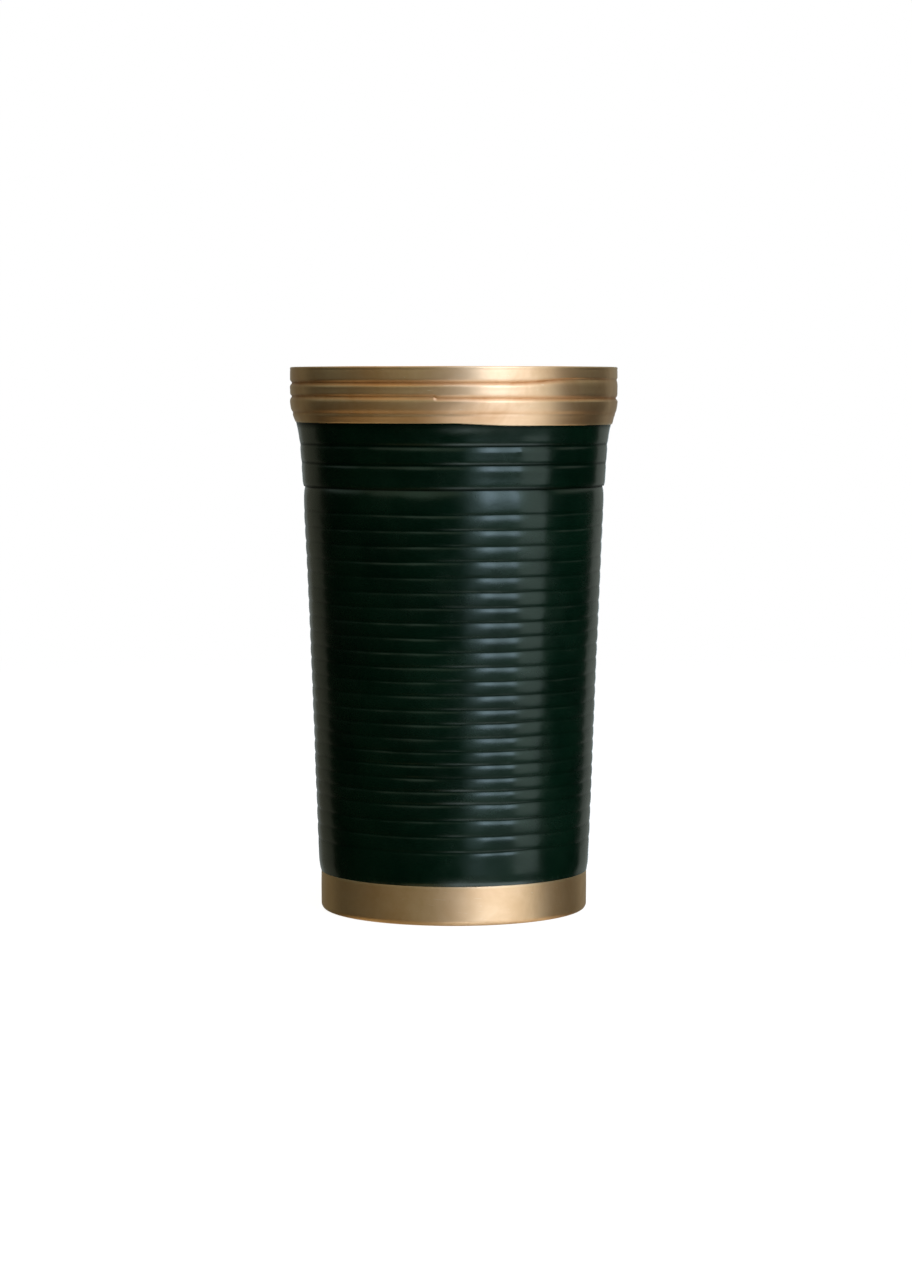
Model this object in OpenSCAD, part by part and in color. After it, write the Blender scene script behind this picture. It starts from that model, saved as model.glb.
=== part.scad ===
// Leather dice cup.
// A tapered board cup is covered in green leather with tooled rings, lined with felt, and finished
// with a brass collar at the mouth and a brass ferrule at the base.
// Millimetres, +Z up, origin at the centre of the base. The leather seams are at +Y, the back.

/* [Cup] */
// Height of the whole cup
cup_h = 100; // [94:1:112]
// Outer diameter of the brass collar at the mouth
collar_d = 60.2; // [59:0.1:64]
// Outer diameter of the brass ferrule at the base
ferrule_d = 49.2; // [47:0.1:51]

/* [Brass collar] */
// Height of the collar, from the rim to its lower edge
collar_h = 10.3; // [10:0.1:11]
// Height of the plain band above the first turned groove
rim_band_h = 3; // [2.8:0.1:3.4]
// Distance from one turned groove to the next
bead_pitch = 2.6; // [2.5:0.05:2.7]
// How far the skirt draws in below the beads
skirt_in = 0.9; // [0.6:0.05:1]
// How far in the top flange reaches, from the collar's outside
flange_w = 3.9; // [3.6:0.1:4.6]

/* [Brass ferrule] */
// Height of the ferrule
ferrule_h = 7.2; // [6:0.1:8]
// Thickness of the ferrule's sheet
ferrule_t = 0.6; // [0.4:0.05:0.7]
// Width of the flange turned in under the base
foot_w = 4.6; // [3:0.1:6]

/* [Leather] */
// Height of the plain neck band that shows below the collar
neck_h = 11.5; // [11:0.1:12]
// Thickness of the body leather
body_leather_t = 1.35; // [1.3:0.05:1.5]
// Thickness of the neck leather
neck_leather_t = 0.7; // [0.6:0.05:0.8]
// Number of rings tooled into the body leather
ring_count = 24; // [12:1:26]
// Depth of each tooled ring
ring_depth = 0.28; // [0.15:0.01:0.35]
// Height of the plain leather below the lowest ring
plain_foot_h = 6.1; // [5:0.1:8]
// Height of the plain leather above the highest ring
plain_head_h = 4.5; // [4:0.1:6]

/* [Board, lining and lip] */
// Wall thickness of the board tube
tube_t = 1.6; // [1.2:0.1:2]
// Thickness of the board disc that closes the tube
floor_t = 3; // [2:0.1:4]
// Thickness of the felt on the wall
felt_t = 1; // [0.6:0.1:1.4]
// Thickness of the felt on the floor
floor_felt_t = 1.2; // [0.8:0.1:2]
// Height of the leather tripping lip inside the mouth
lip_h = 6; // [5:0.1:7]
// How far the lip stands in from the collar's outside
lip_in = 8.3; // [7.8:0.1:9]

/* [Hidden] */
$fn = 128;

bond = 0.02;            // clearance between bonded faces
seam_w = 0.12;          // width of the butt seam in the leather
collar_r = collar_d / 2;
ferrule_r = ferrule_d / 2;
collar_z = cup_h - collar_h;
neck_z = collar_z - neck_h;

// Brass collar
flange_t = 0.6;         // thickness of the collar's top flange
collar_wall = 1;        // thickness of the collar's wall at its beads
rim_round = 0.45;       // radius of the collar's top edge
groove_r = 0.5;         // radius of the tool that turned the grooves
groove_depth = 0.3;
groove_count = 3;
skirt_edge_t = 0.2;     // thickness of the skirt at its lower edge
skirt_gap = 0.04;       // clearance between the skirt and the leather
skirt_h = 3.6;          // height over which the skirt draws in
skirt_power = 1.3;      // how the skirt's curve tightens towards its lower edge
collar_bore_r = collar_r - collar_wall;

// Brass ferrule
ferrule_bore_r = ferrule_r - ferrule_t;
foot_round = 1;         // radius of the ferrule's bottom edge
foot_bore_r = ferrule_r - foot_w;

// Leather profile: a straight taper from the ferrule to the neck, slightly waisted
leather_foot_r = ferrule_r + 0.33;
leather_head_r = collar_r - 2.34;
waist = 0.12;           // how far the middle of the body lies inside a straight taper
heel_h = 2.6;           // height over which the leather rounds in to the ferrule
heel_in = 0.28;         // how far it rounds in
tuck_wall = 0.03;       // clearance between the tucked leather and the ferrule
neck_slope = 0.063;     // taper of the neck band
flare_h = 5;            // height of the neck band's flare below the collar
tuck_h = 1.6;           // how far the neck leather runs up under the collar
hem_h = 1.2;            // height of the neck band's rounded lower edge
hem_in = 0.28;          // how far that edge rounds in
neck_ring_drop = [3.9, 7.3]; // from the collar's lower edge down to each ring in the neck band
neck_gutter_h = 0.7;    // height of the bevel on the body leather below the neck band
neck_gutter_in = 0.3;   // depth of that bevel
overlap_h = 7.8;        // how far the body leather runs up inside the neck band
tool_r = 0.5;           // radius of the tool that pressed the rings

// Ring spacing: the gaps tighten a little towards the base, and the three lowest are wider
spacing_shrink = 0.19;
low_gap = 1.24;
low_gap_count = 3;

// Board and mouth
tube_base_z = ferrule_t;
tube_top_z = cup_h - flange_t - lip_h;
head_ring_z = neck_z + overlap_h + bond;
mouth_bore_r = core_r(tube_top_z) + bond;
lip_r = collar_r - lip_in;

// Height z as a fraction of the body between ferrule and neck, and the straight taper's radius there
function body_part(z) = (z - ferrule_h) / (neck_z - ferrule_h);
function taper_r(z) = leather_foot_r + (leather_head_r - leather_foot_r) * body_part(z);

// Outside of the body leather at height z
function body_r(z) = taper_r(z) - 4 * waist * body_part(z) * (1 - body_part(z));

// Outside and inside of the board tube at height z
function core_r(z) = taper_r(z) - body_leather_t;
function bore_r(z) = core_r(z) - tube_t;

// Outside of the neck leather at height z: a slight taper, then a flare, then upright in the collar
function neck_line_r(z) = leather_head_r + bond + neck_slope * (z - neck_z);
flare = (collar_r - skirt_in - skirt_edge_t - skirt_gap - neck_line_r(collar_z)) / pow(flare_h, 2);
function neck_r(z) = min(
    neck_line_r(z) + flare * pow(max(0, z - collar_z + flare_h), 2),
    collar_bore_r - skirt_gap
);

// Outside of the collar at height z: upright at the beads, then drawn in
function collar_face_r(z) = collar_r - skirt_in * pow(max(0, collar_z + skirt_h - z) / skirt_h, skirt_power);

// Face between the neck leather and what lies under it
function neck_bed_r(z) = neck_r(z) - neck_leather_t - bond;

// Points on an arc about c, and evenly spaced numbers from a to b
function arc(c, r, from, to, steps = 8) =
    [for (i = [0:steps]) let (a = from + (to - from) * i / steps) c + r * [cos(a), sin(a)]];
function spread(a, b, steps) = [for (i = [0:steps]) a + (b - a) * i / steps];

// Heights of the tooled rings, from the top down
function ring_gap(k) =
    (1 - spacing_shrink * k / (ring_count - 2)) * (k >= ring_count - 1 - low_gap_count ? low_gap : 1);
function gap_sum(k) = k == 0 ? 0 : gap_sum(k - 1) + ring_gap(k - 1);
ring_top_z = neck_z - plain_head_h;
ring_span = ring_top_z - ferrule_h - plain_foot_h;
ring_z = [for (k = [0:ring_count - 1]) ring_top_z - ring_span * gap_sum(k) / gap_sum(ring_count - 1)];
neck_ring_z = [for (drop = neck_ring_drop) collar_z - drop];
groove_z = [for (i = [0:groove_count - 1]) cup_h - rim_band_h - i * bead_pitch];

// A round tool of radius r pressed to a depth into a profile at radius wall_r and height z
module tool_mark(wall_r, z, r, depth) {
    translate([wall_r + r - depth, z]) circle(r, $fn = 32);
}

// The butt seam of a rolled leather sleeve, at the back
module seam(z0, z1) {
    translate([-seam_w / 2, 0, z0 - 1]) cube([seam_w, collar_r + 1, z1 - z0 + 2]);
}

// Board tube that gives the cup its shape
module core_tube() {
    color("#8a6b48")
    rotate_extrude() polygon([
        [core_r(tube_base_z), tube_base_z], [core_r(tube_top_z), tube_top_z],
        [bore_r(tube_top_z), tube_top_z], [bore_r(tube_base_z), tube_base_z]
    ]);
}

// Board disc glued inside the foot of the tube
module core_floor() {
    top = tube_base_z + floor_t;
    color("#9b7a52")
    translate([0, 0, tube_base_z])
    cylinder(h = floor_t, r1 = bore_r(tube_base_z) - bond, r2 = bore_r(top) - bond);
}

// Turned wooden ring that widens the mouth and backs the collar, stepped to let in the neck leather
module head_ring() {
    tuck_z = collar_z + tuck_h + bond;
    top = cup_h - flange_t - bond;
    color("#a67c4a")
    rotate_extrude() polygon(concat(
        [for (z = spread(head_ring_z, tuck_z, 10)) [neck_bed_r(z), z]],
        [[collar_bore_r - bond, tuck_z], [collar_bore_r - bond, top], [mouth_bore_r, top]],
        [for (z = [tube_top_z, head_ring_z]) [core_r(z) + bond, z]]
    ));
}

// Leather ring inside the mouth that makes the dice tumble as they leave
module trip_lip() {
    nose_r = (lip_h - 2 * bond) / 2;
    mid_z = tube_top_z + lip_h / 2;
    color("#1b2a20")
    rotate_extrude() polygon(concat(
        arc([lip_r + nose_r, mid_z], nose_r, 90, 270, 16),
        [[mouth_bore_r - bond, mid_z - nose_r], [mouth_bore_r - bond, mid_z + nose_r]]
    ));
}

// Felt glued to the inside of the tube
module lining_sleeve() {
    low = tube_base_z + floor_t + floor_felt_t + 2 * bond;
    high = tube_top_z - bond;
    color("#2f3b2c")
    rotate_extrude() polygon([
        [bore_r(low) - bond, low], [bore_r(high) - bond, high],
        [bore_r(high) - felt_t, high], [bore_r(low) - felt_t, low]
    ]);
}

// Felt disc on the floor
module floor_pad() {
    low = tube_base_z + floor_t + bond;
    color("#33402f")
    translate([0, 0, low]) cylinder(h = floor_felt_t, r = bore_r(low) - 2 * bond);
}

// Body leather: pared thin inside the ferrule and under the neck band, with the tooled rings between
module body_cover() {
    low = tube_base_z + bond;
    top = neck_z + overlap_h;
    shoulder_z = ferrule_h + bond;
    gutter_z = neck_z - neck_gutter_h;
    land = concat([for (i = [ring_count - 1:-1:0]) ring_z[i]], [gutter_z]);
    color("#0a2a19")
    difference() {
        rotate_extrude() difference() {
            polygon(concat(
                [[core_r(top) + bond, top], [core_r(low) + bond, low]],
                [[ferrule_bore_r - tuck_wall, low], [ferrule_bore_r - tuck_wall, shoulder_z]],
                [for (z = spread(shoulder_z, ferrule_h + heel_h, 6))
                    [body_r(z) - heel_in * pow((ferrule_h + heel_h - z) / heel_h, 2), z]],
                [for (z = land) [body_r(z), z]],
                [[body_r(gutter_z) - neck_gutter_in, neck_z], [neck_bed_r(neck_z), neck_z]],
                [for (z = spread(neck_z + 1, top, 4)) [neck_bed_r(z), z]]
            ));
            for (z = ring_z) tool_mark(body_r(z), z, tool_r, ring_depth);
        }
        seam(low, top);
    }
}

// Neck leather: laps over the body leather and runs up under the collar
module neck_cover() {
    low = neck_z + bond;
    top = collar_z + tuck_h;
    bend = concat([low + hem_h], spread(collar_z - flare_h, top, 12));
    color("#0c2f1d")
    difference() {
        rotate_extrude() difference() {
            polygon(concat(
                [for (z = spread(low, low + hem_h, 5))
                    [neck_r(z) - hem_in * pow((low + hem_h - z) / hem_h, 2), z]],
                [for (z = bend) if (z > low + hem_h) [neck_r(z), z]],
                [for (i = [len(bend) - 1:-1:0]) [neck_r(bend[i]) - neck_leather_t, bend[i]]],
                [[neck_r(low) - neck_leather_t, low]]
            ));
            for (z = neck_ring_z) tool_mark(neck_r(z), z, tool_r, ring_depth);
        }
        seam(low, top);
    }
}

// Spun brass collar: three turned grooves, a skirt drawn in over the leather, and a top flange
module rim_collar() {
    under_z = cup_h - flange_t;
    color("#b08a4e")
    rotate_extrude() difference() {
        polygon(concat(
            [for (z = spread(collar_z, collar_z + skirt_h, 8)) [collar_face_r(z), z]],
            arc([collar_r - rim_round, cup_h - rim_round], rim_round, 0, 90),
            [[collar_r - flange_w, cup_h], [collar_r - flange_w, under_z], [collar_bore_r, under_z]],
            [for (z = spread(collar_z + tuck_h, collar_z, 5)) [neck_r(z) + skirt_gap, z]]
        ));
        for (z = groove_z) tool_mark(collar_face_r(z), z, groove_r, groove_depth);
    }
}

// Brass ferrule round the foot, turned in under the base
module base_ferrule() {
    edge = 0.15;
    color("#a8844c")
    rotate_extrude() polygon(concat(
        arc([ferrule_r - foot_round, foot_round], foot_round, -90, 0),
        [[ferrule_r, ferrule_h - edge], [ferrule_r - edge, ferrule_h], [ferrule_bore_r, ferrule_h]],
        [[ferrule_bore_r, ferrule_t - bond], [foot_bore_r, ferrule_t - bond], [foot_bore_r, 0]]
    ));
}

// Leather disc let into the ferrule's flange, level with its underside
module base_pad() {
    color("#16241b")
    cylinder(h = ferrule_t - bond, r = foot_bore_r - bond);
}

core_tube();
core_floor();
head_ring();
trip_lip();
lining_sleeve();
floor_pad();
body_cover();
neck_cover();
rim_collar();
base_ferrule();
base_pad();
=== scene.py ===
"""The looks of the leather dice cup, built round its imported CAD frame.

Outlines are worked out in millimetres and turned round the cup's axis; meshes are written in metres.
Azimuth 0 is the front, -Y, and grows towards +X. The leather seams are at the back, azimuth pi.
"""

import math

import bpy
import numpy as np
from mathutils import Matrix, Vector


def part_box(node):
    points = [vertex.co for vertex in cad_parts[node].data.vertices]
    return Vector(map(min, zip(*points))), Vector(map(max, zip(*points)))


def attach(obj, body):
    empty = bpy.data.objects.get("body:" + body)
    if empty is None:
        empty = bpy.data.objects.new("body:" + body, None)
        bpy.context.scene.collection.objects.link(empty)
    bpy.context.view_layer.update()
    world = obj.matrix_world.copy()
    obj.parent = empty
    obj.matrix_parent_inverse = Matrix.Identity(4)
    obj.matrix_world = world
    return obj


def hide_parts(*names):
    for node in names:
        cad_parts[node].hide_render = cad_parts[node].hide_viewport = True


MM = 0.001
TAU = math.tau

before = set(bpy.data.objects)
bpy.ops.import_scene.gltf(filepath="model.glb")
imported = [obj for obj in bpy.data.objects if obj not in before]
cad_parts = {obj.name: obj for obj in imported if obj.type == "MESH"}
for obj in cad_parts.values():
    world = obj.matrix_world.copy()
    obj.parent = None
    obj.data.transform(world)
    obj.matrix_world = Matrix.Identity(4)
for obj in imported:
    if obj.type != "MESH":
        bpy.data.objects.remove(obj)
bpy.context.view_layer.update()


# ---------------------------------------------------------------------------
# Sizes, in millimetres. What the frame can say comes from the frame.
# ---------------------------------------------------------------------------

def low_high(node):
    """Lowest and highest corner of a CAD node, in millimetres."""
    low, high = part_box(node)
    return low / MM, high / MM


collar_low, collar_high = low_high("rim_collar")
ferrule_high = low_high("base_ferrule")[1]
neck_low, neck_high = low_high("neck_cover")
body_low, body_high = low_high("body_cover")
lining_low, lining_high = low_high("lining_sleeve")
pad_low, pad_high = low_high("floor_pad")
lip_low, lip_high = low_high("trip_lip")
base_high = low_high("base_pad")[1]

CUP_H = collar_high.z
COLLAR_R = collar_high.x
COLLAR_Z = collar_low.z
FERRULE_R = ferrule_high.x
FERRULE_H = ferrule_high.z
NECK_Z = neck_low.z

BOND = 0.02                 # clearance between bonded faces

BODY_FOOT_R = FERRULE_R + 0.33      # the leather stands proud of the ferrule
BODY_HEAD_R = COLLAR_R - 2.34       # and lies inside the collar
BODY_T = 1.35               # thickness of the body leather
WAIST = 0.12                # how far the middle of the body lies inside a straight taper
HEEL_H = 2.6                # height over which the leather rounds in to the ferrule
HEEL_IN = 0.28
GUTTER_H = 1.0              # soft fall-away of the body leather below the neck band
GUTTER_IN = 0.42
RING_COUNT = 24
RING_DEPTH = 0.06
RING_TOP = NECK_Z - 4.5
RING_FOOT = FERRULE_H + 6.1
RING_SHRINK = 0.19          # how much tighter the rings get towards the base
LOW_GAP = 1.24              # the lowest gaps are wider by this factor
LOW_GAPS = 3

NECK_T = 0.7                # thickness of the neck leather
NECK_SLOPE = 0.063
FLARE_H = 5.0               # height of the flare under the collar
HEM_H = 1.2                 # the rolled lower edge
HEM_IN = 0.2
NECK_RING_DEPTH = 0.12
NECK_PRESS_W = 0.44
NECK_RINGS = (COLLAR_Z - 3.9, COLLAR_Z - 7.3)

COLLAR_WALL = 1.0
FLANGE_T = 0.6              # the collar's flange over the mouth
FLANGE_W = 3.9
SKIRT_H = 3.6               # the skirt that draws in over the neck leather
SKIRT_IN = 0.9
SKIRT_EDGE_T = 0.2
SKIRT_GAP = 0.04
RIM_BAND_H = 3.0            # plain band above the first turned groove
BEAD_PITCH = 2.6
GROOVES = tuple(CUP_H - RIM_BAND_H - BEAD_PITCH * i for i in range(3))

FERRULE_WALL = 0.6
FERRULE_FOOT_T = 0.58       # thickness of the ferrule where it turns in under the base
LIP_INNER_R = COLLAR_R - 8.3
FELT_T = 1.0


def taper_r(z):
    """Radius of the straight taper from the ferrule to the neck band."""
    return BODY_FOOT_R + (BODY_HEAD_R - BODY_FOOT_R) * (z - FERRULE_H) / (NECK_Z - FERRULE_H)


def body_r(z):
    """Outside of the body leather, slightly waisted."""
    part = (z - FERRULE_H) / (NECK_Z - FERRULE_H)
    return taper_r(z) - 4 * WAIST * part * (1 - part)


def neck_line_r(z):
    """The neck band's taper without its flare."""
    return BODY_HEAD_R + BOND + NECK_SLOPE * (z - NECK_Z)


def neck_r(z):
    """Outside of the neck leather, which flares and then stands upright inside the collar."""
    reach = COLLAR_R - SKIRT_IN - SKIRT_EDGE_T - SKIRT_GAP - neck_line_r(COLLAR_Z)
    flare = reach * np.maximum(0.0, (z - COLLAR_Z) / FLARE_H + 1) ** 2
    return np.minimum(neck_line_r(z) + flare, COLLAR_R - COLLAR_WALL - SKIRT_GAP)


def collar_r(z):
    """Outside of the collar: upright at the beads, then drawn in."""
    below = max(0.0, COLLAR_Z + SKIRT_H - z)
    return COLLAR_R - SKIRT_IN * (below / SKIRT_H) ** 1.3


def ring_heights():
    """Heights of the rings pressed in the body, from the top down."""
    gaps = [1 - RING_SHRINK * k / (RING_COUNT - 2) for k in range(RING_COUNT - 1)]
    gaps = [g * (LOW_GAP if k >= RING_COUNT - 1 - LOW_GAPS else 1) for k, g in enumerate(gaps)]
    steps = np.concatenate([[0], np.cumsum(gaps)]) / sum(gaps)
    return RING_TOP - (RING_TOP - RING_FOOT) * steps


# ---------------------------------------------------------------------------
# Mesh tools
# ---------------------------------------------------------------------------

def smooth(t):
    """Smooth step from 0 to 1."""
    t = np.clip(t, 0, 1)
    return t * t * (3 - 2 * t)


NOISE_FROM = -10            # soft_noise() covers the heights from here
NOISE_SPAN = 130            # to this far above


def soft_noise(azimuth, z, cells, up, seed):
    """Smooth noise from -1 to 1 on a sleeve: cells of it round the sleeve, each up mm high."""
    grid = np.random.default_rng(seed).uniform(-1, 1, (int(NOISE_SPAN / up) + 3, cells))
    u = np.mod(azimuth, TAU) / TAU * cells
    v = (np.asarray(z) - NOISE_FROM) / up
    i, j = np.floor(v).astype(int), np.floor(u).astype(int)
    s, t = smooth(v - i), smooth(u - j)
    j, k = j % cells, (j + 1) % cells
    low = grid[i, j] * (1 - t) + grid[i, k] * t
    high = grid[i + 1, j] * (1 - t) + grid[i + 1, k] * t
    return low * (1 - s) + high * s


def ripples(azimuth, z, layers):
    """Sum of soft noises, where a layer is (mm, cells round the sleeve, mm of height a cell, seed)."""
    return sum(size * soft_noise(azimuth, z, cells, up, seed) for size, cells, up, seed in layers)


def hump(distance, width):
    """A smooth hump of height 1."""
    return np.exp(-(distance / width) ** 2)


def turn(azimuth, start):
    """How far an azimuth lies past start, going round towards +X, in degrees."""
    return np.degrees(np.mod(azimuth - math.radians(start), TAU))


def near(azimuth, centre, width):
    """A hump round an azimuth, with its centre and width in degrees."""
    return hump(turn(azimuth, centre - 180) - 180, width)


SEAM = math.pi              # azimuth of the butt seams
SEAM_COLUMNS = (0.08, 0.17, 0.27, 0.4, 0.6, 0.85)       # the mesh's columns beside a seam, in mm
SEAM_CLEAR = 0.15


def from_seam(azimuth, radius):
    """Distance from the seam along a sleeve of the given radius, in millimetres."""
    return (np.mod(azimuth, TAU) - SEAM) * radius


def columns(count, seam_radius=None):
    """Azimuths of the mesh's columns, with closer ones beside the seam of a sleeve that has one."""
    even = np.arange(count) * TAU / count
    if seam_radius is None:
        return even
    even = even[np.abs(even - SEAM) > (max(SEAM_COLUMNS) + SEAM_CLEAR) / seam_radius]
    close = np.array([0.0, *SEAM_COLUMNS, *(-c for c in SEAM_COLUMNS)]) / seam_radius
    return np.sort(np.concatenate([even, SEAM + close]))


def arc(centre_r, centre_z, radius, start, end, steps):
    """Points (r, z) on an arc, with angles in degrees from +r towards +z."""
    angles = np.radians(np.linspace(start, end, steps + 1))
    return [(centre_r + radius * math.cos(a), centre_z + radius * math.sin(a)) for a in angles]


def fill(a, b, spacing):
    """Points from a to b, without b, about spacing mm apart."""
    steps = max(1, round(math.dist(a, b) / spacing))
    return [tuple(np.array(a) + (np.array(b) - np.array(a)) * i / steps) for i in range(steps)]


def lathe(name, outline, azimuths, shape=None, marks=None, corner=38):
    """Turns a closed outline of (r, z) points round the axis and makes an object of it.

    shape(azimuth, r, z) gives the moved r and z. marks(azimuth, r, z) gives named shades for the
    materials. Points on the axis become one vertex.
    """
    outline = np.array(outline, float)
    a = azimuths[:, None]
    r = np.broadcast_to(outline[None, :, 0], (len(azimuths), len(outline)))
    z = np.broadcast_to(outline[None, :, 1], r.shape)
    new_r, new_z = shape(a, r, z) if shape else (r, z)
    points = np.stack([new_r * np.sin(a), -new_r * np.cos(a), new_z + 0 * a], axis=-1) * MM

    count, rows = r.shape
    index = np.arange(count * rows).reshape(count, rows)
    on_axis = np.flatnonzero(outline[:, 0] == 0)
    index[:, on_axis] = index[0, on_axis]
    around = np.roll(index, -1, axis=0)
    up, around_up = np.roll(index, -1, axis=1), np.roll(around, -1, axis=1)
    quads = np.stack([index, around, around_up, up], axis=-1)
    if len(on_axis):
        quads = quads[:, :-1]
    quads = quads.reshape(-1, 4)

    used, flat = np.unique(quads, return_inverse=True)
    quads = flat.reshape(-1, 4)
    faces = [tuple(dict.fromkeys(q)) for q in quads.tolist()]
    mesh = bpy.data.meshes.new(name)
    mesh.from_pydata(points.reshape(-1, 3)[used].tolist(), [], faces)
    mesh.validate()
    mesh.shade_smooth()
    mesh.set_sharp_from_angle(angle=math.radians(corner))
    for mark, values in (marks(a, r, z) if marks else {}).items():
        shade = mesh.attributes.new(mark, "FLOAT", "POINT")
        shade.data.foreach_set("value", (values + 0 * r).reshape(-1)[used].astype(np.float32))
    piece = bpy.data.objects.new(name, mesh)
    bpy.context.scene.collection.objects.link(piece)
    return piece


def place(piece, node, material):
    """Lets a piece stand for a CAD node and gives it its material."""
    piece.data.materials.append(material)
    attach(piece, "root")
    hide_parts(node)


# ---------------------------------------------------------------------------
# Material tools
# ---------------------------------------------------------------------------

def tone(*screen):
    """A linear colour from screen values of red, green and blue, 0 to 255."""
    linear = [c / 3294.6 if c <= 10.31 else ((c / 255 + 0.055) / 1.055) ** 2.4 for c in screen]
    return (*linear, 1.0)


WHITE = (1.0, 1.0, 1.0, 1.0)


class Nodes:
    """A material's or a world's node tree, with short calls for what the materials here use."""

    def __init__(self, owner):
        owner.use_nodes = True
        self.tree = owner.node_tree
        self.tree.nodes.clear()

    def add(self, kind, inputs=None, **settings):
        """A new node, with each input set to a value or linked to a socket."""
        node = self.tree.nodes.new("ShaderNode" + kind)
        for key, value in settings.items():
            setattr(node, key, value)
        for key, value in (inputs or {}).items():
            if isinstance(value, bpy.types.NodeSocket):
                self.tree.links.new(value, node.inputs[key])
            else:
                node.inputs[key].default_value = value
        return node

    def math(self, operation, *values, clamp=False):
        """The result of a Math node."""
        node = self.add("Math", dict(enumerate(values)), operation=operation)
        node.use_clamp = clamp
        return node.outputs[0]

    def millimetres(self, stretch=(1, 1, 1)):
        """Position in millimetres, stretched along each axis."""
        position = self.add("TexCoord").outputs["Object"]
        size = tuple(s / MM for s in stretch)
        return self.add("Mapping", {"Vector": position, "Scale": size}, vector_type="POINT").outputs[0]

    def noise(self, size, detail=3.0, rough=0.55, stretch=(1, 1, 1), twist=0.0):
        """Noise from 0 to 1 with features about size mm across."""
        inputs = {"Vector": self.millimetres(stretch), "Scale": 1 / size, "Detail": detail}
        inputs |= {"Roughness": rough, "Distortion": twist}
        return self.add("TexNoise", inputs).outputs["Fac"]

    def pebbles(self, size):
        """Rounded cells about size mm across, deepest at their centres."""
        inputs = {"Vector": self.millimetres(), "Scale": 1 / size}
        return self.add("TexVoronoi", inputs, feature="SMOOTH_F1").outputs["Distance"]

    def mark(self, name):
        """A shade that lathe() wrote on the mesh."""
        return self.add("Attribute", attribute_name=name).outputs["Fac"]

    def span(self, value, low, high, to_low=0.0, to_high=1.0):
        """Maps a value smoothly from one range to another and clamps it."""
        inputs = {"Value": value, "From Min": low, "From Max": high, "To Min": to_low, "To Max": to_high}
        return self.add("MapRange", inputs, interpolation_type="SMOOTHSTEP").outputs["Result"]

    def blend(self, share, first, second):
        """Mixes a share of the second colour into the first."""
        inputs = {0: share, 6: first, 7: second}
        return self.add("Mix", inputs, data_type="RGBA", blend_type="MIX").outputs[2]

    def bump(self, height, depth, normal=None):
        """Raises the surface by height times depth mm."""
        inputs = {"Height": height, "Strength": 1.0, "Distance": depth * MM}
        if normal is not None:
            inputs["Normal"] = normal
        return self.add("Bump", inputs).outputs[0]

    def show(self, shader, kind="OutputMaterial"):
        """Sends a shader node to the output."""
        self.tree.links.new(shader.outputs[0], self.add(kind).inputs["Surface"])

    def surface(self, inputs):
        """Ends the material with a Principled shader."""
        self.show(self.add("BsdfPrincipled", inputs))


POLISH_TINT = (0.82, 1.0, 0.70, 1)      # the polish takes up some of the dye


def leather(name, deep, mid, worn, gloss=0.23, coat=0.3, grain=0.35, specular=0.45):
    """Dyed and polished leather: mottled dye, fine grain, rubbed high edges, dark seams, and painted
    shade in pressed rings, under hems and under flanges, which also dims the polish there.

    gloss is the roughness of the polish, and grain the size of the pebbles in millimetres.
    """
    material = bpy.data.materials.new(name)
    nodes = Nodes(material)
    painted_shade_joints_patina, rub = nodes.mark("painted_shade_joints_patina"), nodes.mark("rub")

    mottle = nodes.span(nodes.noise(11.0, detail=4, rough=0.6), 0.3, 0.7)
    fleck = nodes.span(nodes.noise(1.3, detail=3, rough=0.6), 0.35, 0.75, 0.0, 0.3)
    colour = nodes.blend(mottle, deep, mid)
    colour = nodes.blend(fleck, colour, mid)
    scuff = nodes.span(nodes.noise(0.8, detail=4, rough=0.7), 0.42, 0.7)
    wear = nodes.math("MULTIPLY", nodes.math("MULTIPLY", rub, scuff), 0.3, clamp=True)
    colour = nodes.blend(wear, colour, worn)
    # painted shade: the marked rings, hems and flange edges are blended towards this darker colour, as
    # are the dark seams
    shadow = tuple(c * 0.3 for c in deep[:3]) + (1.0,)
    colour = nodes.blend(nodes.math("MULTIPLY", painted_shade_joints_patina, 0.5, clamp=True), colour, shadow)

    cloud = nodes.span(nodes.noise(7.0, detail=3, rough=0.6), 0.3, 0.7, gloss - 0.04, gloss + 0.05)
    rough = nodes.math("ADD", cloud, nodes.math("MULTIPLY", painted_shade_joints_patina, 0.05))
    rough = nodes.math("ADD", rough, nodes.math("MULTIPLY", wear, 0.25))

    pebble = nodes.pebbles(grain)
    pore = nodes.noise(grain * 0.6, detail=3, rough=0.65)
    crease = nodes.noise(2.4, detail=4, rough=0.6, stretch=(1, 1, 1.6), twist=0.6)
    normal = nodes.bump(crease, 0.02)
    normal = nodes.bump(pebble, 0.0018, normal)
    normal = nodes.bump(pore, 0.0009, normal)
    # the painted shade and the seams also take away shine and polish
    shine_share = nodes.math("SUBTRACT", 1.0, nodes.math("MULTIPLY", painted_shade_joints_patina, 0.85), clamp=True)
    shine = nodes.math("MULTIPLY", shine_share, specular)
    polish = nodes.math("MULTIPLY", shine_share, coat)
    nodes.surface({
        "Base Color": colour, "Roughness": rough, "Specular IOR Level": shine, "Normal": normal,
        "Specular Tint": POLISH_TINT,
        "Coat Weight": polish, "Coat Roughness": gloss * 0.55, "Coat IOR": 1.45,
    })
    return material


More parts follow.
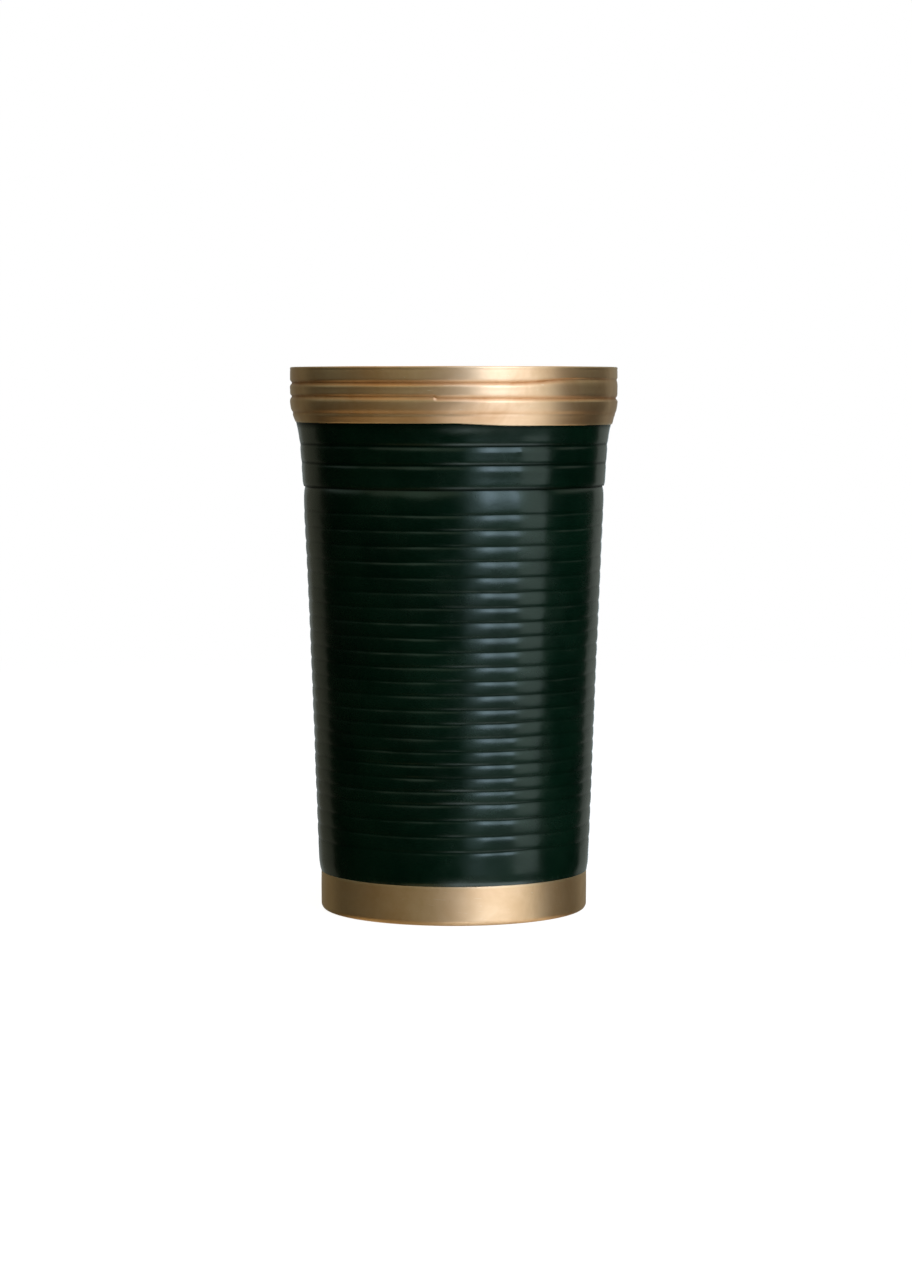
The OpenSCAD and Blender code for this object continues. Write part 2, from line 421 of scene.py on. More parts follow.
def brass(name, bright, dull, roughness, stretch, lines=0.006):
    """Satin brass: turned lines round the axis, a thin cloudy patina, fine stray scratches.

    stretch says how far the turned lines draw the highlights out, and lines is their depth in mm.
    """
    material = bpy.data.materials.new(name)
    nodes = Nodes(material)
    groove, edge = nodes.mark("painted_shade_joints_patina"), nodes.mark("rub")

    turned = nodes.noise(0.16, detail=2, rough=0.6, stretch=(0.05, 0.05, 1))
    broad = nodes.noise(0.9, detail=3, rough=0.6, stretch=(0.08, 0.08, 1))
    cloud = nodes.noise(9.0, detail=4, rough=0.65, twist=0.4)
    speck = nodes.span(nodes.noise(1.1, detail=5, rough=0.75), 0.62, 0.78)
    scratch = nodes.noise(0.5, detail=2, rough=0.5, stretch=(0.12, 1.0, 2.5), twist=1.2)
    scratch = nodes.span(scratch, 0.70, 0.74)

    patina = nodes.span(cloud, 0.3, 0.75, 0.0, 0.5)
    patina = nodes.math("ADD", patina, nodes.math("MULTIPLY", speck, 0.25))
    patina = nodes.math("ADD", patina, nodes.math("MULTIPLY", groove, 0.75), clamp=True)
    colour = nodes.blend(patina, bright, dull)
    colour = nodes.blend(nodes.math("MULTIPLY", edge, 0.5), colour, tone(246, 220, 172))
    colour = nodes.blend(nodes.math("MULTIPLY", scratch, 0.5), colour, tone(250, 230, 190))

    rough = nodes.math("ADD", roughness - 0.05, nodes.math("MULTIPLY", cloud, 0.10))
    rough = nodes.math("ADD", rough, nodes.math("MULTIPLY", groove, 0.12))
    normal = nodes.bump(broad, lines * 1.6)
    normal = nodes.bump(turned, lines, normal)
    normal = nodes.bump(scratch, 0.006, normal)
    tangent = nodes.add("Tangent", direction_type="RADIAL", axis="Z").outputs[0]
    nodes.surface({
        "Base Color": colour, "Metallic": 1.0, "Roughness": rough, "Normal": normal,
        "Anisotropic": stretch, "Anisotropic Rotation": 0.25, "Tangent": tangent,
    })
    return material


def felt(name, dark, light):
    """Pressed wool felt: tangled fibres, soft sheen."""
    material = bpy.data.materials.new(name)
    nodes = Nodes(material)
    fibre = nodes.noise(0.35, detail=5, rough=0.75, stretch=(1, 1, 0.5), twist=2.5)
    tuft = nodes.noise(1.6, detail=4, rough=0.6, twist=0.8)
    colour = nodes.blend(nodes.span(fibre, 0.3, 0.7), dark, light)
    colour = nodes.blend(nodes.span(tuft, 0.35, 0.7, 0.0, 0.6), colour, dark)
    normal = nodes.bump(tuft, 0.12)
    normal = nodes.bump(fibre, 0.09, normal)
    nodes.surface({
        "Base Color": colour, "Roughness": 0.95, "Specular IOR Level": 0.15, "Normal": normal,
        "Sheen Weight": 0.5, "Sheen Roughness": 0.45, "Sheen Tint": light,
    })
    return material


def board(name, dark, light):
    """Rolled grey-brown board with a fibrous face and layered edges."""
    material = bpy.data.materials.new(name)
    nodes = Nodes(material)
    fibre = nodes.noise(0.8, detail=5, rough=0.7, stretch=(1, 1, 0.4), twist=1.0)
    layer = nodes.noise(0.3, detail=3, rough=0.6, stretch=(0.1, 0.1, 2))
    colour = nodes.blend(nodes.span(fibre, 0.3, 0.7), dark, light)
    colour = nodes.blend(nodes.span(layer, 0.4, 0.7, 0.0, 0.35), colour, dark)
    normal = nodes.bump(fibre, 0.04)
    nodes.surface({
        "Base Color": colour, "Roughness": 0.88, "Specular IOR Level": 0.25, "Normal": normal,
    })
    return material


def turned_wood(name, dark, light):
    """Close-grained wood turned on a lathe."""
    material = bpy.data.materials.new(name)
    nodes = Nodes(material)
    grain = nodes.noise(1.4, detail=5, rough=0.6, stretch=(1, 0.12, 1), twist=1.5)
    pores = nodes.noise(0.3, detail=3, rough=0.7, stretch=(1, 0.1, 1))
    colour = nodes.blend(nodes.span(grain, 0.3, 0.7), dark, light)
    colour = nodes.blend(nodes.span(pores, 0.55, 0.75, 0.0, 0.6), colour, dark)
    normal = nodes.bump(pores, 0.02)
    nodes.surface({
        "Base Color": colour, "Roughness": 0.55, "Specular IOR Level": 0.4, "Normal": normal,
    })
    return material


# ---------------------------------------------------------------------------
# Leather pieces
# ---------------------------------------------------------------------------

PRESS_W = 0.34              # half-width of a pressed ring's groove
LIP_W = 0.5                 # half-width of the lips beside it
LIP_RELIEF = 0.07           # a lip this high is rubbed all over
# Painted shade on each pressed ring: where it sits on the ring's upper wall, how wide it is, and how
# much of it the body's rings get.
SHADE_UP = 0.14             # the dark of a pressed ring lies on its upper wall
SHADE_W = 0.27
BODY_SHADE = 0.45           # the body's rings are less dark than the neck's
PILLOW = 0.035              # swell of the leather between rings
ROW_OFFSETS = (1.0, 0.7, 0.48, 0.31, 0.15, 0, -0.15, -0.31, -0.48, -0.7, -1.0)

SEAM_W = 0.13               # half-width of a seam's slit
SEAM_DEPTH = 0.36
SEAM_SHADE_W = 0.16
DARKEST = 1.2

# Layers for ripples(): how unevenly the leather was pressed and laid.
BODY_PRESS = ((0.30, 22, 2.6, 3), (0.15, 64, 2.6, 4))
BODY_UNEVEN = ((0.05, 9, 17, 5), (0.032, 30, 5.2, 6), (0.009, 90, 1.9, 7))
BODY_DRIFT = ((0.10, 10, 3.3, 9), (0.045, 34, 2.7, 10))
NECK_PRESS = ((0.2, 17, 2.9, 13), (0.1, 50, 2.9, 14))
NECK_UNEVEN = ((0.05, 9, 9, 15), (0.045, 26, 3.5, 16))
NECK_FIRM = 0.75            # how firmly the neck's rings were pressed, and how much more where
NECK_FIRMER = ((0.55, 20, 35), (0.3, -65, 30))          # share, azimuth and width in degrees
LIP_UNEVEN = ((0.05, 14, 40, 31), (0.03, 60, 2.4, 32))
BASE_UNEVEN = ((0.06, 12, 5, 41), (0.02, 60, 1.6, 42))


def press(z, rings, depth, width):
    """Relief of pressed rings at height z: a groove with a low lip above it and below it."""
    relief = 0
    for ring in rings:
        up = z - ring
        relief = relief - depth * hump(up, width)
        relief = relief + depth * (0.10 * hump(up - 1.1, LIP_W) + 0.22 * hump(up + 1.15, LIP_W))
    return relief


def pillow(z, rings, height):
    """The leather swells a little between neighbouring pressed rings."""
    swell = 0
    for upper, lower in zip(rings[:-1], rings[1:]):
        part = np.clip((z - lower) / (upper - lower), 0, 1)
        swell = swell + height * np.sin(part * math.pi)
    return swell


def ring_shade(z, rings):
    """Share of a pressed ring's painted shade at height z."""
    return np.clip(sum(hump(z - ring - SHADE_UP, SHADE_W) for ring in rings), 0, 1)


def seam_relief(a, radius):
    """A butt seam: a narrow slit with edges that stand a little proud."""
    across = from_seam(a, radius)
    return 0.07 * hump(np.abs(across) - 0.42, 0.22) - SEAM_DEPTH * hump(across, SEAM_W)


def ring_rows(rings):
    """Heights of the mesh rows round pressed rings, from the top down."""
    rows = sorted({round(ring + offset, 4) for ring in rings for offset in ROW_OFFSETS}, reverse=True)
    return [z for i, z in enumerate(rows) if i == 0 or rows[i - 1] - z > 0.05]


def body_cover(material):
    """Body leather: bonded to the tube inside, pressed rings outside, its foot in the ferrule."""
    rings = ring_heights()
    top, foot = body_high.z, body_low.z
    heel = FERRULE_H + HEEL_H
    shoulder = FERRULE_H + BOND
    tuck_r = FERRULE_R - FERRULE_WALL - 0.03
    seam_r = 27

    def bed(z):
        return neck_r(z) - NECK_T - BOND

    def bore(z):
        return taper_r(z) - BODY_T + BOND

    face = ring_rows(rings)
    face += [(a + b) / 2 for a, b in zip(face[:-1], face[1:]) if a - b > 0.5]
    face += [NECK_Z - drop for drop in (0.03, 0.2, 0.4, 0.6, 0.85, 1.1, 1.4, 1.8, 2.3, 2.8, 3.3)]
    face += [rings[-1] - drop for drop in (1.4, 2.0, 2.6)]
    heel_rows = [heel - HEEL_H * i / 7 for i in range(1, 7)]

    outline = [(bed(z), z) for z in np.linspace(top, NECK_Z + 0.25, 8)]
    outline += [(bed(NECK_Z), NECK_Z)]
    for z in sorted(face, reverse=True):
        outline += [(body_r(z) - GUTTER_IN * math.exp((z - NECK_Z) / GUTTER_H), z)]
    outline += [(body_r(z) - HEEL_IN * ((heel - z) / HEEL_H) ** 2, z) for z in heel_rows]
    outline += [(body_r(shoulder) - HEEL_IN, shoulder), (tuck_r, shoulder)]
    outline += [(tuck_r, z) for z in (5.0, 2.8, foot)]
    outline += [(bore(foot), foot)]
    outline += [(bore(z), z) for z in np.linspace(foot + 8, top, 9)]

    def on_face(r, z):
        return ((z > shoulder + 0.01) & (z < NECK_Z - 0.02) & (r > taper_r(z) - 0.8)).astype(float)

    def relief(a, z):
        return press(z, rings, RING_DEPTH, PRESS_W) * (1 + ripples(a, z, BODY_PRESS))

    def shape(a, r, z):
        face = on_face(r, z)
        calm = face * smooth((NECK_Z - z) / 4) * smooth((z - shoulder) / 4)
        swell = pillow(z, rings, PILLOW) * (1 + 0.4 * soft_noise(a, z, 16, 2.6, 8))
        uneven = ripples(a, z, BODY_UNEVEN)
        moved = r + face * (relief(a, z) + swell + uneven + seam_relief(a, body_r(z)))
        return moved, z + calm * ripples(a, z, BODY_DRIFT)

    def marks(a, r, z):
        face = on_face(r, z)
        # painted shade on the upper walls of the pressed rings
        ring = BODY_SHADE * ring_shade(z, rings) * face
        seam = hump(from_seam(a, seam_r), SEAM_SHADE_W)
        # painted shade on the body leather just under the neck band's hem
        hem_shadow = smooth(1.2 - (NECK_Z - z) / 0.35) * face
        high = np.clip(relief(a, z) / LIP_RELIEF, 0, 1) + smooth(1 - (z - shoulder) / 1.1)
        return {
            "painted_shade_joints_patina": np.clip(ring + seam + hem_shadow, 0, DARKEST),
            "rub": np.clip(high, 0, 1) * face,
        }

    piece = lathe("body_cover_leather", outline, columns(296, seam_r), shape, marks)
    place(piece, "body_cover", material)


def neck_cover(material):
    """Neck leather: a rolled hem, two pressed rings, and a flare up under the collar."""
    top, low = neck_high.z, neck_low.z
    hem = low + HEM_H
    wrinkle_a, wrinkle_z = math.radians(25), NECK_RINGS[0] - 0.75       # a small fold
    seam_r = 28

    face = ring_rows(NECK_RINGS)
    between = np.linspace(hem + 0.3, top - 0.3, 26)
    face += [z for z in between if min(abs(z - ring) for ring in NECK_RINGS) > 0.95]
    hem_rows = [low + HEM_H * t for t in (0, 0.03, 0.1, 0.2, 0.34, 0.5, 0.7, 0.88)]

    outline = [(neck_r(z) - NECK_T, z) for z in np.linspace(top, low + 0.15, 10)]
    outline += [(neck_r(low) - NECK_T + 0.05, low)]
    outline += [(neck_r(z) - HEM_IN * ((hem - z) / HEM_H) ** 2.4, z) for z in hem_rows]
    outline += [(neck_r(z), z) for z in sorted(face)]
    outline += [(neck_r(top), top - 0.08), (neck_r(top) - 0.1, top)]

    def on_face(r, z):
        return ((r > neck_r(z) - 0.45) & (z < COLLAR_Z + 0.6)).astype(float)

    def relief(a, z):
        firm = NECK_FIRM + sum(more * near(a, centre, width) for more, centre, width in NECK_FIRMER)
        firm = firm + ripples(a, z, NECK_PRESS)
        return press(z, NECK_RINGS, NECK_RING_DEPTH, NECK_PRESS_W) * firm

    def shape(a, r, z):
        face = on_face(r, z)
        tight = smooth((COLLAR_Z - z) / 2.5)
        pucker = 0.035 * soft_noise(a, z, 70, 30, 17) * smooth((z - NECK_RINGS[0] - 0.6) / 3)
        loose = (ripples(a, z, NECK_UNEVEN) + pucker + seam_relief(a, 28.5)) * tight
        wrinkle = 0.05 * hump((a - wrinkle_a) * seam_r, 0.7) * hump(z - wrinkle_z, 0.5)
        edge = smooth(1 - (z - low) / 3)
        drift = 0.15 * soft_noise(a, z, 14, 30, 18) * edge
        drift = drift + 0.10 * soft_noise(a, z, 9, 3.1, 19) * smooth((COLLAR_Z - z) / 3) * (1 - edge)
        return r + face * (relief(a, z) + loose + wrinkle), z + drift

    def marks(a, r, z):
        face = on_face(r, z)
        # painted shade on the upper walls of the pressed rings
        ring = ring_shade(z, NECK_RINGS) * face
        seam = hump(from_seam(a, seam_r), SEAM_SHADE_W)
        # painted shade: along the hem's lower edge and up under the collar's skirt
        under = smooth(1.6 - (z - low) / 0.3) + smooth((z - COLLAR_Z + 1.0) / 0.8)
        high = 0.25 * hump(z - low - 0.9, 0.3) + 0.5 * np.clip(relief(a, z) / LIP_RELIEF, 0, 1)
        return {
            "painted_shade_joints_patina": np.clip(ring + seam + under, 0, DARKEST),
            "rub": np.clip(high, 0, 1) * face,
        }

    piece = lathe("neck_cover_leather", outline, columns(520, seam_r), shape, marks)
    place(piece, "neck_cover", material)


def trip_lip(material):
    """Leather ring inside the mouth, with a rounded nose and a butt seam."""
    top, low = lip_high.z, lip_low.z
    outer, inner = lip_high.x, LIP_INNER_R
    nose, mid = (top - low) / 2, (top + low) / 2
    nose_r = inner + nose
    seam_r = 23

    outline = arc(nose_r, mid, nose, 90, 270, 34)
    outline += fill((nose_r + 0.3, low), (outer - 0.2, low), 0.5)
    outline += [(outer - 0.06, low + 0.02), (outer, low + 0.2), (outer, mid)]
    outline += [(outer, top - 0.2), (outer - 0.06, top - 0.02)]
    outline += fill((outer - 0.3, top), (nose_r + 0.2, top), 0.3)

    def shape(a, r, z):
        face = smooth((outer - 0.4 - r) / 0.8)
        ripple = ripples(a, z, LIP_UNEVEN)
        slit = 0.3 * hump(from_seam(a, seam_r), SEAM_W)
        inward = np.clip((nose_r - r) / nose, 0, 1)
        up = np.clip((z - mid) / nose, -1, 1)
        sink = (slit + 0.04 + ripple * 0.6) * up * (1 - inward)
        return r - face * (ripple - slit) * inward, z - face * sink

    def marks(a, r, z):
        slit = hump(from_seam(a, seam_r), SEAM_SHADE_W)
        nose_rub = smooth((inner + 1.2 - r) / 1.0)
        # painted shade on the lip under the collar's flange
        flange_shadow = smooth((r - (COLLAR_R - FLANGE_W) + 0.05) / 0.3)
        return {"painted_shade_joints_patina": np.clip(slit + flange_shadow, 0, DARKEST), "rub": nose_rub}

    piece = lathe("trip_lip_leather", outline, columns(420, seam_r), shape, marks)
    place(piece, "trip_lip", material)


def base_pad(material):
    """Leather disc let into the underside, slightly dished."""
    edge, top = base_high.x, base_high.z
    corner = 0.2
    outline = [(0, 0.0)] + fill((0.6, 0.0), (edge - 0.25, 0.0), 0.6)
    outline += arc(edge - corner, corner, corner, -90, 0, 4)
    outline += [(edge, top), (edge * 0.5, top), (0, top)]

    def shape(a, r, z):
        under = (z < 0.02) * smooth((edge - 0.4 - r) / 1.5)
        uneven = ripples(a, r, BASE_UNEVEN) * smooth(r / 3)
        return r, z + under * (0.05 + uneven * 0.5)

    def marks(a, r, z):
        # darker in the outer quarter millimetre of the pad, where it meets the ferrule
        return {"painted_shade_joints_patina": smooth((r - edge + 0.25) / 0.25), "rub": smooth((r - edge + 2.5) / 2.0) * 0.6}

    piece = lathe("base_pad_leather", outline, columns(300), shape, marks)
    place(piece, "base_pad", material)


# ---------------------------------------------------------------------------
# Felt pieces
# ---------------------------------------------------------------------------

# Layers for ripples(): the fuzz of the felt.
SLEEVE_FUZZ = ((0.05, 150, 0.9, 51), (0.06, 40, 3.2, 52), (0.05, 10, 14, 53))
FINE_PAD_FUZZ = ((0.05, 90, 0.9, 61),)
BROAD_PAD_FUZZ = ((0.05, 14, 4, 62),)


def lining_sleeve(material):
    """Felt wall, with a butt seam at the back."""
    low, high = lining_low.z, lining_high.z
    slope = (BODY_HEAD_R - BODY_FOOT_R) / (NECK_Z - FERRULE_H)
    seam_r = 23

    def outer(z):
        return lining_high.x - slope * (high - z)

    outline = [(outer(z), z) for z in np.linspace(low, high, 12)]
    outline += [(outer(z) - FELT_T, z) for z in np.linspace(high, low, 150)]

    def shape(a, r, z):
        inside = (r < outer(z) - FELT_T / 2).astype(float)
        across = from_seam(a, seam_r)
        slit = -0.5 * hump(across, 0.16) + 0.07 * hump(np.abs(across) - 0.5, 0.3)
        return r - inside * (ripples(a, z, SLEEVE_FUZZ) + slit - 0.03), z

    piece = lathe("lining_sleeve_felt", outline, columns(440, seam_r), shape)
    place(piece, "lining_sleeve", material)


def floor_pad(material):
    """Felt disc on the floor of the cup."""
    edge, low, high = pad_high.x, pad_low.z, pad_high.z
    corner = 0.3
    outline = [(0, low), (edge * 0.5, low), (edge, low), (edge, high - corner)]
    outline += arc(edge - corner, high - corner, corner, 0, 90, 4)
    outline += fill((edge - 0.6, high), (0.4, high), 0.45) + [(0, high)]

    def shape(a, r, z):
        top = (z > high - 0.05).astype(float) * smooth((edge - r) / 0.8)
        fuzz = ripples(a, r, FINE_PAD_FUZZ) * smooth(r / 6)
        fuzz = fuzz + ripples(a, r, BROAD_PAD_FUZZ) * smooth(r / 5)
        return r, z + top * (fuzz - 0.06)

    piece = lathe("floor_pad_felt", outline, columns(300), shape)
    place(piece, "floor_pad", material)


# ---------------------------------------------------------------------------
# Brass pieces
# ---------------------------------------------------------------------------

BRASS_CORNER = 50           # edges that turn by more degrees than this stay sharp
RIM_EDGE = 0.3              # radius of the collar's top edge
FLANGE_EDGE = 0.2           # radius of its flange's inner edge
GROOVE_ROWS = (0.8, 0.6, 0.45, 0.3, 0.15, 0, -0.15, -0.3, -0.45, -0.6, -0.8)
GROOVE_W = 0.32
GROOVE_DEPTHS = (0.28, 0.24, 0.10)
BEAD_CROWN = 0.07           # how far the beads between the grooves bulge

# Layers for ripples(): shallow dents from use.
COLLAR_DENTS = ((0.02, 12, 6, 71), (0.008, 60, 1.7, 72))
FERRULE_DENTS = ((0.025, 11, 5, 81), (0.008, 55, 1.8, 82))


def groove_path(a, which):
    """Height of a turned groove above its nominal place, and its share of full depth.

    The lathe tool was lifted at one place, so the top groove's two ends don't quite meet there.
    """
    tilt = -0.10 * np.sin(a)
    if which == 0:
        past = turn(a, 22)
        rise = 0.06 + 0.62 * smooth(past / 24) - 0.68 * smooth((past - 50) / 230)
        depth = 1 - 0.65 * smooth((past - 8) / 24) * (1 - smooth((past - 60) / 60))
        return rise + 0.5 * tilt, depth
    if which == 1:
        past = turn(a, -6)
        return 0.22 * smooth((past - 60) / 260) - 0.08 + tilt, 1 - 0.25 * hump(past - 350, 10)
    return tilt - 0.2, 1 - 0.3 * np.sin(a)


def collar_edge_drop(a):
    """How far the collar's lower edge hangs below its nominal height."""
    past = turn(a, -2)
    return 0.42 * smooth(past / 24) * (1 - smooth((past - 110) / 120)) - 0.2


def rim_collar(material):
    """Spun brass collar with turned grooves, a drawn-in skirt and a top flange."""
    bore = COLLAR_R - COLLAR_WALL
    skirt_top = COLLAR_Z + SKIRT_H
    flange_r = COLLAR_R - FLANGE_W
    under = CUP_H - FLANGE_T
    edge_r = collar_r(COLLAR_Z)

    rows = {round(groove + offset, 4) for groove in GROOVES for offset in GROOVE_ROWS}
    rows |= {round(float(z), 4) for z in np.linspace(COLLAR_Z + 0.3, CUP_H - RIM_EDGE - 0.2, 34)}
    rows = sorted(rows)
    rows = [z for i, z in enumerate(rows) if i == 0 or z - rows[i - 1] > 0.07]

    outline = [(edge_r - 0.15, COLLAR_Z + 0.01), (edge_r - 0.05, COLLAR_Z + 0.02)]
    outline += [(edge_r + 0.01, COLLAR_Z + 0.09), (collar_r(COLLAR_Z + 0.17), COLLAR_Z + 0.17)]
    outline += [(collar_r(z), z) for z in rows]
    outline += arc(COLLAR_R - RIM_EDGE, CUP_H - RIM_EDGE, RIM_EDGE, 0, 90, 7)
    outline += fill((COLLAR_R - RIM_EDGE - 0.25, CUP_H), (flange_r + 0.3, CUP_H), 0.25)
    outline += arc(flange_r + FLANGE_EDGE, CUP_H - FLANGE_EDGE, FLANGE_EDGE, 90, 180, 4)
    outline += [(flange_r, under + 0.12), (flange_r + 0.1, under), (flange_r + 1.5, under)]
    outline += [(bore, under), (bore, skirt_top), (bore, COLLAR_Z + 1.6)]
    outline += [(neck_r(z) + SKIRT_GAP, z) for z in np.linspace(COLLAR_Z + 1.3, COLLAR_Z, 6)]

    def on_face(r, z):
        return ((r > bore + 0.25) | (z < COLLAR_Z + 0.4)) & (z < CUP_H - RIM_EDGE - 0.05)

    def relief(a, z):
        cut = 0
        for which, groove in enumerate(GROOVES):
            depth = GROOVE_DEPTHS[which] * groove_path(a, which)[1]
            up = z - groove
            cut = cut - depth * hump(up, GROOVE_W) + 0.15 * depth * hump(up + 0.7, 0.3)
        return cut

    def crown(z):
        swell = 0
        for upper, lower in zip((CUP_H - RIM_EDGE, *GROOVES[:-1]), GROOVES):
            part = np.clip((z - lower) / (upper - lower), 0, 1)
            swell = swell + BEAD_CROWN * (1 - (2 * part - 1) ** 4) * (part > 0) * (part < 1)
        return swell

    def shape(a, r, z):
        face = on_face(r, z) & (r > neck_r(z) + SKIRT_GAP + 0.02)
        moved = r + face * (relief(a, z) + crown(z) - BEAD_CROWN + ripples(a, z, COLLAR_DENTS))
        follow = 0
        for which, groove in enumerate(GROOVES):
            follow = follow + groove_path(a, which)[0] * (1 - smooth(np.abs(z - groove) / 1.25))
        low_part = 1 - smooth((z - COLLAR_Z) / 1.3)
        wave = collar_edge_drop(a) + 0.03 * soft_noise(a, z, 40, 30, 73)
        top_face = (z > CUP_H - 0.02) * (0.02 + 0.02 * soft_noise(a, r, 20, 2, 74))
        return moved, z + on_face(r, z) * follow - low_part * wave - top_face

    def marks(a, r, z):
        deep = np.clip(-relief(a, z) / GROOVE_DEPTHS[0], 0, 1) * on_face(r, z)
        top_edge = smooth((z - CUP_H + 0.5) / 0.3) * hump(r - COLLAR_R + 0.2, 0.35)
        low_edge = hump(z - COLLAR_Z - 0.1, 0.15) * on_face(r, z)
        return {"painted_shade_joints_patina": deep, "rub": np.clip(top_edge + low_edge, 0, 1)}

    piece = lathe("rim_collar_brass", outline, columns(720), shape, marks, BRASS_CORNER)
    place(piece, "rim_collar", material)


def base_ferrule(material):
    """Brass ferrule with a rounded foot, turned in under the base."""
    bore = FERRULE_R - FERRULE_WALL
    foot_bore = base_high.x + BOND
    top = FERRULE_H
    foot, inner_edge, top_edge = 1.0, 0.15, 0.14        # radii of its rounded edges

    outline = [(foot_bore, FERRULE_FOOT_T), (foot_bore, 0.2)]
    outline += arc(foot_bore + inner_edge, inner_edge, inner_edge, 180, 270, 3)
    outline += fill((foot_bore + 0.4, 0.0), (FERRULE_R - foot - 0.1, 0.0), 0.35)
    outline += arc(FERRULE_R - foot, foot, foot, -90, 0, 12)
    outline += fill((FERRULE_R, foot + 0.2), (FERRULE_R, top - 0.3), 0.22)
    outline += arc(FERRULE_R - top_edge, top - top_edge, top_edge, 0, 90, 4)
    outline += [(bore + 0.1, top), (bore, top - 0.1)]
    outline += [(bore, z) for z in (5.0, 3.0, 1.2, FERRULE_FOOT_T)]
    outline += [(bore - 1.5, FERRULE_FOOT_T)]

    def shape(a, r, z):
        face = (r > bore + 0.3) & (z > 0.3)
        knocks = np.clip(soft_noise(a, z, 130, 1.2, 83) - 0.72, 0, 1) * 0.22 * hump(z - 0.5, 0.8)
        return r + face * (ripples(a, z, FERRULE_DENTS) - 0.03 - knocks), z

    def marks(a, r, z):
        edge = hump(z - top, 0.25) * (r > bore + 0.2) + 0.1 * hump(z - 0.35, 0.4) * (r > bore)
        joint = smooth((z - top + 0.12) / 0.1) * (r < bore + 0.35)
        return {"painted_shade_joints_patina": joint, "rub": np.clip(edge, 0, 1)}

    piece = lathe("base_ferrule_brass", outline, columns(640), shape, marks, BRASS_CORNER)
    place(piece, "base_ferrule", material)


# ---------------------------------------------------------------------------
# Studio
# ---------------------------------------------------------------------------

FLOOR_R = 0.9               # metres
FLOOR_Z = -0.00006          # just under the cup's foot
FLOOR_POINTS = 96
FLOOR_WHITE = (0.12, 0.6)   # the floor turns plain white between these distances, in metres
FLOOR_GLOW = 0.93           # the floor's own light near the cup
FLOOR_PAINT = 0.25          # and the grey of its paint


def make_floor():
    """A pale floor seen only by the camera, whiter with distance and clear from below."""
    turns = [TAU * i / FLOOR_POINTS for i in range(FLOOR_POINTS)]
    ring = [(FLOOR_R * math.cos(t), FLOOR_R * math.sin(t), FLOOR_Z) for t in turns]
    mesh = bpy.data.meshes.new("studio_floor")
    mesh.from_pydata(ring, [], [tuple(range(FLOOR_POINTS))])
    floor = bpy.data.objects.new("studio_floor", mesh)
    bpy.context.scene.collection.objects.link(floor)
    material = bpy.data.materials.new("pale_floor")
    nodes = Nodes(material)
    position = nodes.add("TexCoord").outputs["Object"]
    distance = nodes.add("VectorMath", {0: position}, operation="LENGTH").outputs["Value"]
    far = nodes.span(distance, *FLOOR_WHITE)
    white = nodes.add("Emission", {"Color": WHITE, "Strength": 1.0})
    glow = nodes.add("Emission", {"Color": WHITE, "Strength": FLOOR_GLOW})
    paint = nodes.add("BsdfDiffuse", {"Color": (FLOOR_PAINT, FLOOR_PAINT, FLOOR_PAINT, 1)})
    lit = nodes.add("AddShader", {0: glow.outputs[0], 1: paint.outputs[0]})
    seen = nodes.add("MixShader", {0: far, 1: lit.outputs[0], 2: white.outputs[0]})
    clear = nodes.add("BsdfTransparent")
    below = nodes.add("NewGeometry").outputs["Backfacing"]
    both = nodes.add("MixShader", {0: below, 1: seen.outputs[0], 2: clear.outputs[0]})
    nodes.show(both)
    mesh.materials.append(material)
    floor.visible_glossy = False
    floor.visible_diffuse = False
    floor.visible_shadow = False
    floor.visible_transmission = False


# Soft lights as seen from the cup: azimuth range and edge, elevation range and edge, in degrees,
# then red, green and blue strength. Later ones lie over earlier ones.
SOFT_LIGHTS = (
    ((-10, 150), 44, (40, 80), 14, (0.80, 0.68, 0.48)),     # ceiling on the window's side
    ((-84, -34), 22, (38, 80), 14, (0.75, 0.58, 0.36)),     # ceiling at the left
    ((80, 140), 24, (44, 80), 14, (0.95, 0.80, 0.58)),      # ceiling at the right
    ((-176, -86), 16, (38, 80), 14, (0.60, 0.46, 0.29)),    # ceiling at the far left
    ((-4, 78), 24, (38, 72), 14, (1.55, 1.80, 2.60)),       # ceiling lit by the window
    ((-176, -10), 30, (-54, -38), 12, (0.60, 0.46, 0.27)),  # table at the left
    ((-12, 150), 44, (-56, -36), 12, (0.80, 0.66, 0.46)),   # table on the window's side
    ((-4, 78), 24, (-52, -30), 10, (2.10, 2.25, 2.80)),     # table lit by the window
    ((10, 75), 8, (-24, -9), 5, (0.20, 0.26, 0.30)),        # wall under the window
    ((11, 27), 12, (-14, 38), 5, (0.46, 0.58, 0.76)),       # thin curtain at the window's left
    ((21, 34), 11, (-2, 38), 9, (3.80, 4.60, 6.70)),        # main pane
    ((34, 51.5), 4, (-2, 38), 9, (2.05, 2.50, 3.60)),       # its shaded half
    ((44.5, 51.5), 4, (-2, 38), 9, (3.50, 4.25, 6.10)),     # a bright gap beside the frame
    ((52, 75), 4, (-15, 38), 5, (0.92, 1.06, 1.22)),        # narrow pane
    ((84, 150), 12, (8, 36), 8, (0.31, 0.35, 0.32)),        # far lamps
    ((-170, -66), 14, (14, 36), 8, (0.20, 0.19, 0.15)),
    ((-118, -76), 12, (10, 34), 8, (0.27, 0.34, 0.33)),
    ((-66, 8), 16, (8, 34), 8, (0.36, 0.41, 0.36)),
    ((-36, -14), 10, (6, 32), 8, (0.48, 0.60, 0.56)),
    ((136, 236), 4, (-22, 26), 9, (0.13, 0.13, 0.10)),      # dim room behind the cup
    ((136, 205), 4, (-22, 26), 9, (0.25, 0.27, 0.25)),
    ((171, 187), 8, (-34, 34), 10, (1.50, 1.85, 2.10)),     # a small window behind the cup
)
ROOM = (0.001, 0.0015, 0.001)
CEILING = (0.46, 0.38, 0.25)
CEILING_EDGE = (36, 56)                     # elevations over which the room turns to ceiling
TABLE = (0.26, 0.23, 0.17)
TABLE_EDGE = (-60, -34)


